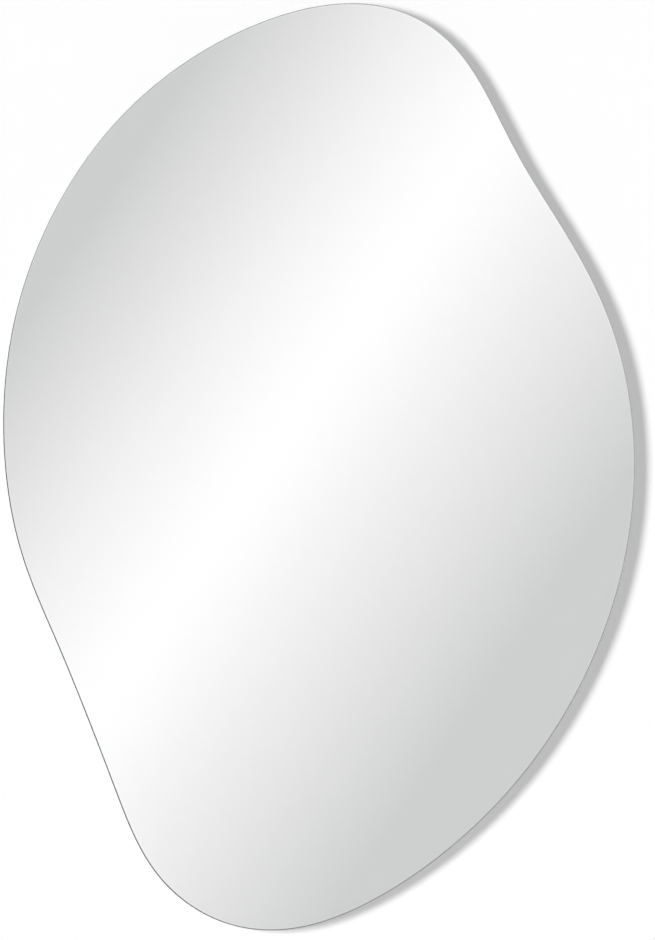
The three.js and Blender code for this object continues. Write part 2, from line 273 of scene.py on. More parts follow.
class Nodes:
    """A node tree, with short calls that add nodes to it."""

    def __init__(self, owner, clear=False):
        owner.use_nodes = True
        self.tree = owner.node_tree
        if clear:
            self.tree.nodes.clear()

    def add(self, kind, inputs=None, **settings):
        """A node with its settings. Each of its inputs is linked to a socket or given a value."""
        node = self.tree.nodes.new(kind)
        for name, value in settings.items():
            setattr(node, name, value)
        for key, source in (inputs or {}).items():
            self.feed(source, node.inputs[key])
        return node

    def feed(self, source, socket):
        """Links a socket to another one, or gives it a value."""
        if isinstance(source, bpy.types.NodeSocket):
            self.tree.links.new(source, socket)
        else:
            socket.default_value = source

    def math(self, operation, *inputs):
        return self.add("ShaderNodeMath", dict(enumerate(inputs)), operation=operation).outputs[0]

    def place(self, kind="Object"):
        return self.add("ShaderNodeTexCoord").outputs[kind]

    def parts(self, vector):
        """The X, Y and Z of a vector."""
        return self.add("ShaderNodeSeparateXYZ", {0: vector}).outputs

    def spread(self, source, low, high, to_low=0.0, to_high=1.0):
        """A value carried from one range to another and kept inside it."""
        inputs = {0: source, 1: low, 2: high, 3: to_low, 4: to_high}
        return self.add("ShaderNodeMapRange", inputs).outputs["Result"]

    def ramp(self, source, stops):
        """A colour read from a ramp of (place, colour) stops. A plain number is a grey."""
        node = self.add("ShaderNodeValToRGB", {"Fac": source})
        elements = node.color_ramp.elements
        while len(elements) < len(stops):
            elements.new(0.5)
        for element, (place, colour) in zip(elements, stops):
            element.position = place
            element.color = (*as_colour(colour), 1)
        return node.outputs["Color"]

    def mix(self, share, first, second):
        """Two colours mixed by a share of the second."""
        inputs = {0: share, 6: first, 7: second}
        return self.add("ShaderNodeMix", inputs, data_type="RGBA").outputs[2]

    def blend(self, share, first, second):
        """Two shaders mixed by a share of the second."""
        return self.add("ShaderNodeMixShader", {0: share, 1: first, 2: second}).outputs[0]

    def seen_by(self, *kinds):
        """1 where a ray of one of these kinds looks at the surface."""
        path = self.add("ShaderNodeLightPath").outputs
        total = path[f"Is {kinds[0]} Ray"]
        for kind in kinds[1:]:
            total = self.math("MAXIMUM", total, path[f"Is {kind} Ray"])
        return total


class Shader(Nodes):
    """A new material with one Principled shader."""

    def __init__(self, name, **sockets):
        self.material = bpy.data.materials.new(name)
        super().__init__(self.material)
        self.surface = self.tree.nodes["Principled BSDF"]
        for socket, value in sockets.items():
            self.surface.inputs[socket.replace("_", " ")].default_value = value

    def link(self, source, socket):
        self.tree.links.new(source, self.surface.inputs[socket])

    def stretched(self, scale, turn=(0, 0, 0)):
        """Object coordinates scaled by different amounts along X, Y and Z."""
        inputs = {"Vector": self.place(), "Scale": scale, "Rotation": turn}
        return self.add("ShaderNodeMapping", inputs).outputs["Vector"]

    def noise(self, vector, scale, detail=4, roughness=0.55):
        inputs = {"Vector": vector, "Scale": scale, "Detail": detail, "Roughness": roughness}
        return self.add("ShaderNodeTexNoise", inputs).outputs["Fac"]

    def cells(self, scale):
        """Distance to the nearest of a scatter of points."""
        inputs = {"Vector": self.place(), "Scale": scale}
        return self.add("ShaderNodeTexVoronoi", inputs).outputs["Distance"]

    def shades(self, source, colour, *stops):
        """A colour made lighter or darker along a ramp of (place, factor) stops."""
        return self.ramp(source, [(place, shade(colour, factor)) for place, factor in stops])

    def roughen(self, source, low, high):
        """Lets the roughness swing from low to high with a noise."""
        self.link(self.spread(source, *NOISE_SWING, low, high), "Roughness")

    def bump(self, height, distance, normal=None):
        inputs = {"Height": height, "Distance": distance}
        if normal is not None:
            inputs["Normal"] = normal
        return self.add("ShaderNodeBump", inputs).outputs["Normal"]


def as_colour(tone):
    return (tone,) * 3 if isinstance(tone, float) else tone


def shade(colour, factor):
    """A colour made lighter or darker, kept inside the range of a colour."""
    return tuple(min(1.0, max(0.0, channel * factor)) for channel in colour)


def face_glass_material(props):
    """Clear float glass. The faint waviness runs along the plate, as rollers leave it."""
    tint = (*props.face_tint, 1)
    s = Shader("float_glass_face", Base_Color=tint, Transmission_Weight=1.0, IOR=GLASS_IOR)
    wipe = s.noise(s.stretched((2.0, 1.0, 3.0)), 3.0, detail=2)
    s.roughen(wipe, 0.0, 0.004)
    wave = s.noise(s.stretched((1.5, 1.0, 5.0)), 2.0, detail=1)
    s.link(s.bump(wave, 0.00002), "Normal")
    return s.material


def ground_glass_material(name, tint, clearness):
    """The polished edge or its bevels, with the fine lines of the polishing wheels. On the bevels
    the tint is painted shade that darkens the line round the rim.
    """
    s = Shader(name, Base_Color=(*tint, 1), Transmission_Weight=clearness, IOR=GLASS_IOR)
    lines = s.noise(s.stretched((60.0, 9000.0, 60.0)), 1.0, detail=3)
    s.roughen(lines, 0.03, 0.09)
    s.link(s.bump(lines, 0.000005), "Normal")
    return s.material


def silver_material(props):
    """The silver behind the glass, with slight clouding."""
    s = Shader("silver_coating", Metallic=1.0)
    cloud = s.noise(s.place(), 9.0, detail=3)
    s.link(s.shades(cloud, props.silver_colour, (0.35, 0.995), (0.65, 1)), "Base Color")
    s.roughen(cloud, 0.0, 0.003)
    return s.material


def paint_material(props):
    """Protective paint poured over the silver: orange peel, soft mottling and a few dust nibs."""
    s = Shader("protective_paint")
    mottle = s.noise(s.stretched((1.0, 1.0, 3.0)), 14.0, detail=5)
    colour = s.shades(mottle, props.paint_colour, (0.3, 0.86), (0.5, 1), (0.72, 1.12))
    speck = s.spread(s.cells(420.0), 0.03, 0.09, 1.0, 0.0)
    s.link(s.mix(speck, colour, (*shade(props.paint_colour, 0.55), 1)), "Base Color")
    s.roughen(mottle, 0.42, 0.55)
    peel = s.noise(s.place(), 700.0, detail=2)
    s.link(s.bump(peel, 0.00006, normal=s.bump(speck, 0.00008)), "Normal")
    return s.material


def board_face_material(props):
    """The pressed face of fibreboard: pale, with short fibre flecks and sanding marks."""
    s = Shader("fibreboard_face")
    cloud = s.noise(s.place(), 9.0, detail=3, roughness=0.5)
    fleck = s.noise(s.stretched((1.0, 1.0, 3.5), (0, 0.6, 0)), 620.0, detail=3, roughness=0.7)
    tone = s.math("MULTIPLY_ADD", cloud, 0.2, fleck)
    stops = (0.39, 0.66), (0.53, 0.94), (0.63, 1), (0.79, 1.2)
    s.link(s.shades(tone, props.board_colour, *stops), "Base Color")
    s.roughen(fleck, 0.62, 0.8)
    sanding = s.noise(s.stretched((900.0, 1.0, 12.0)), 1.0, detail=2)
    s.link(s.bump(sanding, 0.00004, normal=s.bump(fleck, 0.00008)), "Normal")
    return s.material


def board_edge_material(props):
    """The sawn edge of fibreboard: darker and fuzzier, and darkest in the dense outer layers."""
    s = Shader("fibreboard_edge", Roughness=0.9)
    low, high = cad_box("backing_board")
    middle = (low[1] + high[1]) / 2
    half = (high[1] - low[1]) / 2
    off_middle = s.math("ABSOLUTE", s.math("SUBTRACT", s.parts(s.place())["Y"], middle))
    dense = s.spread(off_middle, half * 0.45, half, 0.0, 0.3)
    fuzz = s.noise(s.stretched((1.0, 2.5, 1.0)), 900.0, detail=5, roughness=0.7)
    tone = s.math("SUBTRACT", fuzz, dense)
    stops = (0.1, 0.4), (0.45, 0.68), (0.75, 0.95)
    s.link(s.shades(tone, props.board_colour, *stops), "Base Color")
    s.link(s.bump(fuzz, 0.00025), "Normal")
    return s.material


def foam_material(props):
    """Closed-cell foam tape: off white, with small open pores on its cut sides, painted darker
    towards each pore's middle as shade in the hollow.
    """
    s = Shader("foam_tape", Roughness=0.9)
    cells = s.cells(2600.0)
    # Painted shade: darker towards each pore's middle, mixed with a random tone from the coarser
    # noise.
    tone = s.math("MULTIPLY", cells, s.noise(s.place(), 60.0, detail=3))
    s.link(s.shades(tone, props.foam_colour, (0.02, 0.72), (0.25, 1)), "Base Color")
    s.link(s.bump(cells, 0.00012), "Normal")
    return s.material


def aluminium_material(props):
    """Mill-finish aluminium section: die lines and broader streaks along X, and a thin uneven
    oxide."""
    s = Shader("mill_aluminium", Metallic=1.0)
    lines = s.noise(s.stretched((5.0, 2600.0, 2600.0)), 1.0, detail=4, roughness=0.65)
    streaks = s.noise(s.stretched((1.5, 520.0, 520.0)), 1.0, detail=4, roughness=0.7)
    oxide = s.noise(s.stretched((0.4, 1.0, 1.0)), 40.0, detail=4)
    tone = s.math("ADD", s.math("MULTIPLY", oxide, 0.5), s.math("MULTIPLY", streaks, 0.5))
    stops = (0.34, 0.74), (0.5, 0.94), (0.64, 1.06)
    s.link(s.shades(tone, props.aluminium_colour, *stops), "Base Color")
    s.link(s.spread(s.math("ADD", lines, streaks), 0.7, 1.3, 0.26, 0.48), "Roughness")
    s.link(s.bump(lines, 0.00003, normal=s.bump(streaks, 0.00006)), "Normal")
    return s.material


def zinc_material(props):
    """Bright zinc plate: a fine grain, with patches that the plating left a little duller."""
    s = Shader("zinc_plate", Metallic=1.0)
    patch = s.noise(s.place(), 260.0, detail=4)
    stops = (0.3, 0.78), (0.5, 1), (0.7, 1.08)
    s.link(s.shades(patch, props.zinc_colour, *stops), "Base Color")
    s.roughen(patch, 0.36, 0.2)
    grain = s.noise(s.place(), 5200.0, detail=2)
    s.link(s.bump(grain, 0.00001), "Normal")
    return s.material


def rubber_material(props):
    """Moulded black rubber: a faint bloom over a fine spark-eroded grain."""
    s = Shader("black_rubber", Specular_IOR_Level=0.4)
    bloom = s.noise(s.place(), 130.0, detail=5)
    s.link(s.shades(bloom, props.rubber_colour, (0.3, 1), (0.75, 1.9)), "Base Color")
    s.roughen(bloom, 0.62, 0.82)
    grain = s.noise(s.place(), 3800.0, detail=2)
    s.link(s.bump(grain, 0.00004), "Normal")
    return s.material


# ---------------------------------------------------------------- settings


def colour_setting(name, description, default):
    return FloatVectorProperty(
        name=name, description=description, default=default, min=0.0, max=1.0, subtype="COLOR"
    )


def length_setting(name, description, default):
    return FloatProperty(
        name=name, description=description, default=default, min=0.0, unit="LENGTH", precision=5
    )


def pixel_setting(name, description, default):
    return FloatProperty(
        name=name, description=description, default=default, min=0.0, subtype="PIXEL"
    )


def number_setting(name, description, default):
    return FloatProperty(name=name, description=description, default=default, min=0.0)


class GlassSettings(PropertyGroup):
    """Sizes and colours of the glass plate and its coatings."""

    rim_steps: IntProperty(
        name="Rim steps", description="Steps round the outline", default=720, min=64
    )
    corner_radius: length_setting(
        "Corner radius", "How far each corner of the polished edge is rounded", 0.12 * MM
    )
    silver_gap: length_setting(
        "Silver gap", "Air left between the glass and the silver, so both can be traced", 0.02 * MM
    )
    paint_waver: length_setting(
        "Paint waver", "How far the paint's border wanders along the rim", 0.15 * MM
    )
    face_tint: colour_setting(
        "Face tint", "Colour of the glass seen through its faces", (1.0, 1.0, 1.0)
    )
    # Painted shade: the bevels' darker tint stands in for the shade on the thin line round the rim;
    # the glass there is as clear as the face.
    bevel_shade_tint: colour_setting(
        "Bevel tint", "Colour of the glass seen through its bevels", (0.6, 0.62, 0.61)
    )
    edge_tint: colour_setting(
        "Edge tint", "Colour of the glass seen through its edge", (0.2, 0.36, 0.3)
    )
    silver_colour: colour_setting(
        "Silver colour", "What the silver reflects", (0.957, 0.957, 0.957)
    )
    paint_colour: colour_setting(
        "Paint colour", "Protective paint on the back", (0.2, 0.245, 0.26)
    )


class BackingSettings(PropertyGroup):
    """Sizes and colours of the fibreboard and the foam tape."""

    rim_steps: IntProperty(
        name="Rim steps", description="Steps round the board", default=480, min=64
    )
    corner_radius: length_setting("Corner radius", "Rounding of the board's sawn corners", 0.4 * MM)
    tape_bulge: length_setting("Tape bulge", "How far the foam bulges at its sides", 0.25 * MM)
    tape_waver: length_setting("Tape waver", "How far a laid strip strays sideways", 0.5 * MM)
    board_colour: colour_setting("Board colour", "Raw fibreboard", (0.46, 0.3, 0.165))
    foam_colour: colour_setting("Foam colour", "Foam mounting tape", (0.8, 0.8, 0.76))


class FixingSettings(PropertyGroup):
    """Sizes and colours of the rails, screws and washers."""

    rail_bevel: length_setting("Rail bevel", "Softening of the rails' corners", 0.18 * MM)
    thread_pitch: length_setting("Thread pitch", "Rise of the screw thread in one turn", 1.5 * MM)
    thread_depth: length_setting("Thread depth", "Height of the thread over its core", 0.5 * MM)
    aluminium_colour: colour_setting("Aluminium colour", "Mill-finish rails", (0.78, 0.785, 0.79))
    zinc_colour: colour_setting("Zinc colour", "Plated screws and washers", (0.7, 0.71, 0.72))


class BumperSettings(PropertyGroup):
    """Sizes and colours of the rubber bumpers."""

    corner_radius: length_setting("Corner radius", "Rounding of the moulded rubber", 0.7 * MM)
    rubber_colour: colour_setting("Rubber colour", "Black rubber", (0.022, 0.022, 0.023))


class StudioSettings(PropertyGroup):
    """The camera's framing in the photograph's pixels, and the light."""

    photo_width: IntProperty(
        name="Photo width", description="Width of the photograph", default=655, subtype="PIXEL"
    )
    photo_height: IntProperty(
        name="Photo height", description="Height of the photograph", default=940, subtype="PIXEL"
    )
    mirror_left: pixel_setting("Mirror left", "Left end of the mirror in the photo", 3.25)
    mirror_top: pixel_setting("Mirror top", "Top of the mirror in the photo", 3.1)
    mirror_bottom: pixel_setting("Mirror bottom", "Bottom of the mirror in the photo", 930.4)
    camera_distance: length_setting("Camera distance", "From the glass to the camera", 15.0)
    card_distance: length_setting("Card distance", "From the glass to the reflected card", 4.0)
    floor_drop: length_setting("Floor drop", "From the mirror's bottom to the floor", 1.2)
    shadow_right: length_setting("Shadow right", "How far the shadow falls right", 13.9 * MM)
    shadow_down: length_setting("Shadow down", "How far the shadow falls down", 1.9 * MM)
    key_spread: FloatProperty(
        name="Key spread",
        description="Apparent width of the key light",
        default=math.radians(17),
        subtype="ANGLE",
    )
    key_strength: number_setting("Key strength", "Strength of the key light", 2.49)
    world_strength: number_setting("World strength", "Soft light from all round", 0.08)
    wall_glow: number_setting(
        "Wall glow", "How much lighter the wall looks than it is lit", 0.372
    )


class MirrorSettings(PropertyGroup):
    """All settings of the mirror and its studio."""

    glass: PointerProperty(type=GlassSettings)
    backing: PointerProperty(type=BackingSettings)
    fixings: PointerProperty(type=FixingSettings)
    bumpers: PointerProperty(type=BumperSettings)
    studio: PointerProperty(type=StudioSettings)


def settings():
    return bpy.context.scene.pebble_mirror


# ---------------------------------------------------------------- glass, silver and paint


def plate_rows(loop, profile, shares=(0.02, 0.35, 0.68)):
    """Rows of a closed plate: from the middle of its back, out along the profile, and in again to
    the middle of its front."""
    edge = carried(loop, profile)
    return np.concatenate([shrunk(edge[0], shares), edge, shrunk(edge[-1], shares[::-1])])


class MIRROR_OT_glass(Operator):
    """Float glass plate with a flat polished edge and a bevel on both rims"""

    bl_idname = "pebble_mirror.glass"
    bl_label = "Glass Plate"

    def execute(self, context):
        props = settings().glass
        front, arris_front, arris_back, back = cad_depths("mirror_glass")
        arris = back - arris_back
        back -= props.silver_gap
        loop = smooth_loop(cad_outline("mirror_glass"), props.rim_steps)
        holding = arris + 3 * props.corner_radius
        corners = [
            (holding, back),
            (arris, back),
            (0, arris_back),
            (0, arris_front),
            (arris, front),
            (holding, front),
        ]
        rows = plate_rows(loop, rounded(corners, props.corner_radius))
        points, faces = closed_skin(rows)
        ends = points[[(face[0], face[2]) for face in faces]][..., 1]
        flat = np.all((ends < front + SAME) | (ends > back - SAME), axis=1)
        edge = np.all((ends > arris_front - SAME) & (ends < arris_back + SAME), axis=1)
        materials = [
            face_glass_material(props),
            # The bevels take a darker tint, painted shade for the line round the rim.
            ground_glass_material("float_glass_bevel", props.bevel_shade_tint, 1.0),
            ground_glass_material("float_glass_edge", props.edge_tint, 0.55),
        ]
        kinds = np.where(flat, 0, np.where(edge, 2, 1))
        piece = add_piece("glass_plate", points, faces, materials, kinds)
        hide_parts("mirror_glass")
        return {"FINISHED"}


class MIRROR_OT_silver(Operator):
    """Silver coating on the back of the glass"""

    bl_idname = "pebble_mirror.silver"
    bl_label = "Silver Coating"

    def execute(self, context):
        props = settings().glass
        front, back = cad_depths("silver_layer")
        loop = smooth_loop(cad_outline("silver_layer"), props.rim_steps)
        points, faces = closed_skin(plate_rows(loop, [(0, back), (0, front)]))
        piece = add_piece("silver_coating", points, faces, [silver_material(props)])
        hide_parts("silver_layer")
        return {"FINISHED"}


BORDER_WAVES = (5, 11, 23, 47, 89)  # how often each wave of the paint's border goes round


class MIRROR_OT_paint(Operator):
    """Protective paint over the silver, whose border wanders a little along the rim"""

    bl_idname = "pebble_mirror.paint"
    bl_label = "Protective Paint"

    def execute(self, context):
        props = settings().glass
        front, back = cad_depths("protective_paint")
        loop = smooth_loop(cad_outline("protective_paint"), props.rim_steps)
        turn = np.linspace(0, 2 * np.pi, props.rim_steps, endpoint=False)
        waver = sum(np.sin(k * turn + k * k) / math.sqrt(k) for k in BORDER_WAVES) / 3
        loop = loop - outward(loop) * props.paint_waver * (1 + waver)
        film = (back - front) * 0.5
        profile = rounded([(film * 2, back), (0, back), (0, front)], film)
        points, faces = closed_skin(plate_rows(loop, profile))
        piece = add_piece("paint_coat", points, faces, [paint_material(props)])
        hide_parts("protective_paint")
        return {"FINISHED"}


# ---------------------------------------------------------------- foam tape and backing board


TAPE_SWAY = 17  # radians per metre of the sine that a strip strays along
TAPE_END = 2 * MM  # how much of a strip's end is rounded
SCREW_REACH = 4 * MM  # a pilot hole's corners lie this near to its axis
COUNTERSINK = 0.25 * MM
DRILL_POINT = 0.3  # depth of a pilot hole's point, in its radii


def tape_surface(node, bulge, waver, phase, rings=60, sides=24):
    """A strip of tape standing upright: a superellipse, |across|^8 + |depth|^4 = 1, scaled to the
    strip's width and thickness and carried up it. Its middle strays sideways as a slow sine, and
    its last few millimetres close to rounded ends."""
    low, high = cad_box(node)
    middle = (low + high) / 2
    half = (high - low) / 2
    angle = np.arange(sides) * (2 * np.pi / sides)
    cosine, sine = np.cos(angle), np.sin(angle)
    across = np.sign(cosine) * np.abs(cosine) ** 0.25
    deep = np.sign(sine) * np.abs(sine) ** 0.5
    share = np.linspace(-1, 1, rings)
    height = middle[2] + half[2] * np.sin(share * np.pi / 2)
    stray = waver * np.sin(height * TAPE_SWAY + phase)
    end = np.clip((half[2] - np.abs(height - middle[2])) / TAPE_END, 0, 1) ** 0.25
    width = (half[0] - waver - bulge + bulge * end) * (0.96 + 0.04 * end)
    x = middle[0] + stray[:, None] + width[:, None] * across
    y = middle[1] + half[1] * deep[None] * np.ones_like(x)
    z = np.broadcast_to(height[:, None], x.shape)
    return np.stack([x, y, z], axis=-1)


class MIRROR_OT_tape(Operator):
    """Strips of foam tape between the paint and the board"""

    bl_idname = "pebble_mirror.tape"
    bl_label = "Mounting Tape"

    def execute(self, context):
        props = settings().backing
        material = foam_material(props)
        strips = sorted(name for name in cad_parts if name.startswith("mounting_tape_"))
        for number, node in enumerate(strips):
            rows = tape_surface(node, props.tape_bulge, props.tape_waver, 2.4 * number)
            points, faces = closed_skin(rows)
            piece = add_piece(f"tape_strip_{number + 1}", points, faces, [material])
            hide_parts(node)
        return {"FINISHED"}


def screw_nodes():
    return sorted(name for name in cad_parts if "screw" in name)


def pilot_holes(mouth, floor, sides=24):
    """The pilot holes of all screws, each a short tube with a drill point: rows of rings from the
    board's back inwards, and the ring on the back face first."""
    corners = cad_corners("backing_board")
    ring = corners[np.abs(corners[:, 1] - floor) < SAME]
    holes = []
    for node in screw_nodes():
        centre = cad_axis(*cad_box(node))
        reach = np.hypot(ring[:, 0] - centre[0], ring[:, 2] - centre[1])
        radius = reach[reach < SCREW_REACH].max()
        profile = [
            (radius + COUNTERSINK, mouth),
            (radius, mouth - COUNTERSINK),
            (radius, floor + radius * DRILL_POINT),
            (radius * 0.05, floor),
        ]
        holes.append(turned(profile, centre, sides))
    return holes


def pierced_face(points, outlines, numbers):
    """Triangles of a flat face between its border and the holes in it, turned to the wall. Each
    point of the outlines, border first, has its number among the points."""
    flat = tessellate_polygon([[tuple(p) for p in ring] for ring in outlines])
    face = np.array(numbers)[np.array(flat)]
    a, b, c = (points[face[:, k]] for k in range(3))
    to_room = np.cross(b - a, c - a)[:, 1] < 0
    face[to_room] = face[to_room][:, ::-1]
    return face.tolist()


class MIRROR_OT_board(Operator):
    """Fibreboard backing with a chamfered rear edge and a pilot hole for every screw"""

    bl_idname = "pebble_mirror.board"
    bl_label = "Backing Board"

    def execute(self, context):
        props = settings().backing
        front, pilot_end, chamfer, back = cad_depths("backing_board")
        slant = back - chamfer
        loop = smooth_loop(cad_outline("backing_board"), props.rim_steps)
        corners = [(slant, back), (0, chamfer), (0, front), (2 * MM, front)]
        profile = rounded(corners, props.corner_radius)
        profile[0] = (slant, back)
        edge = carried(loop, profile)
        rows = np.concatenate([edge, shrunk(edge[-1], (0.68, 0.35, 0.02))])
        count, columns = rows.shape[:2]
        pole = count * columns
        points = [rows.reshape(-1, 3), rows[-1:].mean(axis=1)]
        faces = band_faces(count, columns) + fan_faces(pole, pole - columns, columns)
        sawn = (len(edge) - 2) * columns
        kinds = [1] * sawn + [0] * (len(faces) - sawn)

        start = pole + 1
        outlines = [edge[0]]
        numbers = list(range(columns))
        for hole in pilot_holes(back, pilot_end):
            depth_rows, sides = hole.shape[:2]
            tip = start + depth_rows * sides
            points += [hole.reshape(-1, 3), hole[-1:].mean(axis=1)]
            outlines.append(hole[0])
            numbers += range(start, start + sides)
            bored = band_faces(depth_rows, sides, start) + fan_faces(tip, tip - sides, sides)
            faces += [face[::-1] for face in bored]
            kinds += [1] * len(bored)
            start = tip + 1
        points = np.concatenate(points)
        rear = pierced_face(points, outlines, numbers)
        faces += rear
        kinds += [0] * len(rear)
        materials = [board_face_material(props), board_edge_material(props)]
        piece = add_piece("board", points, faces, materials, kinds)
        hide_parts("backing_board")
        return {"FINISHED"}


# ---------------------------------------------------------------- rails


MERGE_DISTANCE = 0.001 * MM


class MIRROR_OT_rails(Operator):
    """The two hook rails, each a copy of its CAD body with its corners softened"""

    bl_idname = "pebble_mirror.rails"
    bl_label = "Hook Rails"

    def execute(self, context):
        props = settings().fixings
        material = aluminium_material(props)
        for node, body in (("wall_rail", WALL_SIDE), ("mirror_rail", HANGING)):
            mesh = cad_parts[node].data.copy()
            mesh.name = f"{node}_section"
            shape = bmesh.new()
            shape.from_mesh(mesh)
            bmesh.ops.remove_doubles(shape, verts=shape.verts, dist=MERGE_DISTANCE)
            bmesh.ops.dissolve_limit(
                shape, angle_limit=math.radians(1), verts=shape.verts, edges=shape.edges
            )
            shape.to_mesh(mesh)
            shape.free()
            mesh.materials.clear()
            mesh.materials.append(material)
            piece = bpy.data.objects.new(f"{node}_section", mesh)
            context.scene.collection.objects.link(piece)
            bevel = piece.modifiers.new("softened corners", "BEVEL")
            bevel.width = props.rail_bevel
            bevel.segments = 3
            bevel.limit_method = "ANGLE"
            bevel.angle_limit = math.radians(32)  # more than the turn between two facets of a hole
            piece.modifiers.new("flat faces stay flat", "WEIGHTED_NORMAL").weight = 100
            mesh.shade_smooth()
            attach(piece, body)
            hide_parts(node)
        return {"FINISHED"}


# ---------------------------------------------------------------- screws and washers


RECESS_SPAN = 4.2 * MM  # tip to tip of the cross
RECESS_ARM = 1.0 * MM
RECESS_DEPTH = 1.3 * MM
RECESS_SLOPE = 0.28 * MM  # width of its sloping walls
HEAD_FLAT = 0.5  # radius of the flat on top of the head, in head radii
HEAD_SIDE = 0.3  # height of the head's straight side, in head heights
THREAD_CREST = 0.22  # half the width of the thread's ridge, in pitches
PLAIN_SHANK = 1.2 * MM  # under the head, before the thread starts
THREAD_RUN_IN = 1.0 * MM
POINT_LENGTH = 2.6 * MM


def cross_recess(across, up, turn):
    """Depth of a cross recess: over each of two crossed bars, the distance inside the bar's border
    rises smoothly to the full depth over the width of the sloping walls, and the floor falls
    towards the middle."""
    u = across * math.cos(turn) + up * math.sin(turn)
    v = up * math.cos(turn) - across * math.sin(turn)
    half_arm, half_span = RECESS_ARM / 2, RECESS_SPAN / 2
    inside_u = np.minimum(half_arm - np.abs(v), half_span - np.abs(u))
    inside_v = np.minimum(half_arm - np.abs(u), half_span - np.abs(v))
    inside = np.clip(np.maximum(inside_u, inside_v) / RECESS_SLOPE, 0, 1)
    fall = 1 - 0.45 * np.hypot(across, up) / half_span
    return RECESS_DEPTH * inside * inside * (3 - 2 * inside) * np.clip(fall, 0, 1)


def screw_surface(node, props, turn, sides=64):
    """A pan-head wood screw. The head's top is a flat that rolls over to its side like a quarter
    ellipse, less the cross recess. The shank is a core with a ridge on it where the height along
    the axis, in pitches, less the angle, in turns, is near a whole number."""
    centre, radius, depth = cad_turned(node)
    head = radius.max()
    seat = depth[radius > 0.98 * head].min()
    shank = radius[depth < seat - 0.5 * MM].max()
    top, tip = depth.max(), depth.min()
    height = top - seat

    over_flat = np.linspace(0.02, HEAD_FLAT, 30)
    over_roll = HEAD_FLAT + (1 - HEAD_FLAT) * np.sin(np.linspace(0.05, np.pi / 2, 18))
    r = np.concatenate([over_flat, over_roll])
    roll = np.clip((r - HEAD_FLAT) / (1 - HEAD_FLAT), 0, 1)
    y = seat + height * (HEAD_SIDE + (1 - HEAD_SIDE) * np.sqrt(1 - roll**2))
    profile = np.stack([r * head, y], axis=-1)
    under = [(head, seat + 0.15 * MM), (head - 0.15 * MM, seat), (shank + 0.25 * MM, seat)]
    rows = turned(np.concatenate([profile, under]), centre, sides)
    recess = cross_recess(rows[..., 0] - centre[0], rows[..., 2] - centre[1], turn)
    recess[len(profile):] = 0
    rows[..., 1] -= recess

    angle = np.arange(sides) / sides
    along = np.linspace(seat - 0.25 * MM, tip, 110)[:, None]
    phase = ((along - tip) / props.thread_pitch + angle[None, :]) % 1.0
    ridge = np.clip(1 - np.abs(phase - 0.5) / THREAD_CREST, 0, 1)
    neck = np.clip((seat - PLAIN_SHANK - along) / THREAD_RUN_IN, 0, 1)
    point = np.clip((along - tip) / POINT_LENGTH, 0, 1)
    core = (shank - props.thread_depth) * point**0.8 + 0.05 * MM
    core = core + (1 - neck) * (shank - 0.1 * MM - core)
    crest = np.minimum(shank, core + props.thread_depth)
    reach = core + (crest - core) * ridge * np.sqrt(point) * neck
    x = centre[0] + reach * np.cos(2 * np.pi * angle)
    z = centre[1] + reach * np.sin(2 * np.pi * angle)
    shank_rows = np.stack([x, np.broadcast_to(along, x.shape), z], axis=-1)
    return np.concatenate([rows, shank_rows])


class MIRROR_OT_screws(Operator):
    """Pan-head wood screws with a cross recess and a cut thread"""

    bl_idname = "pebble_mirror.screws"
    bl_label = "Wood Screws"

    def execute(self, context):
        props = settings().fixings
        material = zinc_material(props)
        for number, node in enumerate(screw_nodes()):
            rows = screw_surface(node, props, turn=2.4 * number)
            points, faces = closed_skin(rows)
            piece = add_piece(f"{node}_threaded", points, faces, [material], sharp=40)
            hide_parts(node)
        return {"FINISHED"}


def turned_solid(name, profile, centre, sides, material, node):
    """A ring-shaped piece: a closed profile of (radius, depth) turned round an axis along Y."""
    rows = turned(profile, centre, sides)
    faces = band_faces(len(rows), sides, wrap_rows=True)
    piece = add_piece(name, rows.reshape(-1, 3), faces, [material])
    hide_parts(node)
    return piece


def closed_rounded(corners, radius, steps=4):
    """A closed profile with every corner rounded."""
    ring = [corners[-1], *corners, corners[0]]
    return rounded(ring, radius, steps)[1:-1]


def ring_sizes(node):
    """Axis and corner points (radius, depth) of a turned CAD node."""
    centre, radius, depth = cad_turned(node)
    return centre, np.unique(np.stack([radius, depth], axis=-1).round(5), axis=0)


class MIRROR_OT_washers(Operator):
    """Stamped steel washers, with every corner of their section rounded"""

    bl_idname = "pebble_mirror.washers"
    bl_label = "Washers"

    def execute(self, context):
        material = zinc_material(settings().fixings)
        for node in sorted(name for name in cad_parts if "washer" in name):
            centre, profile = ring_sizes(node)
            bore, rim = profile[:, 0].min(), profile[:, 0].max()
            front, back = profile[:, 1].min(), profile[:, 1].max()
            corners = [(bore, back), (rim, back), (rim, front), (bore, front)]
            shape = closed_rounded(corners, 0.22 * MM)
            turned_solid(f"{node}_stamped", shape, centre, 72, material, node)
        return {"FINISHED"}


# ---------------------------------------------------------------- bumpers


WAIST_SHARE = 0.42  # how far up the bumper its groove lies
GROOVE_DEPTH = 0.45 * MM


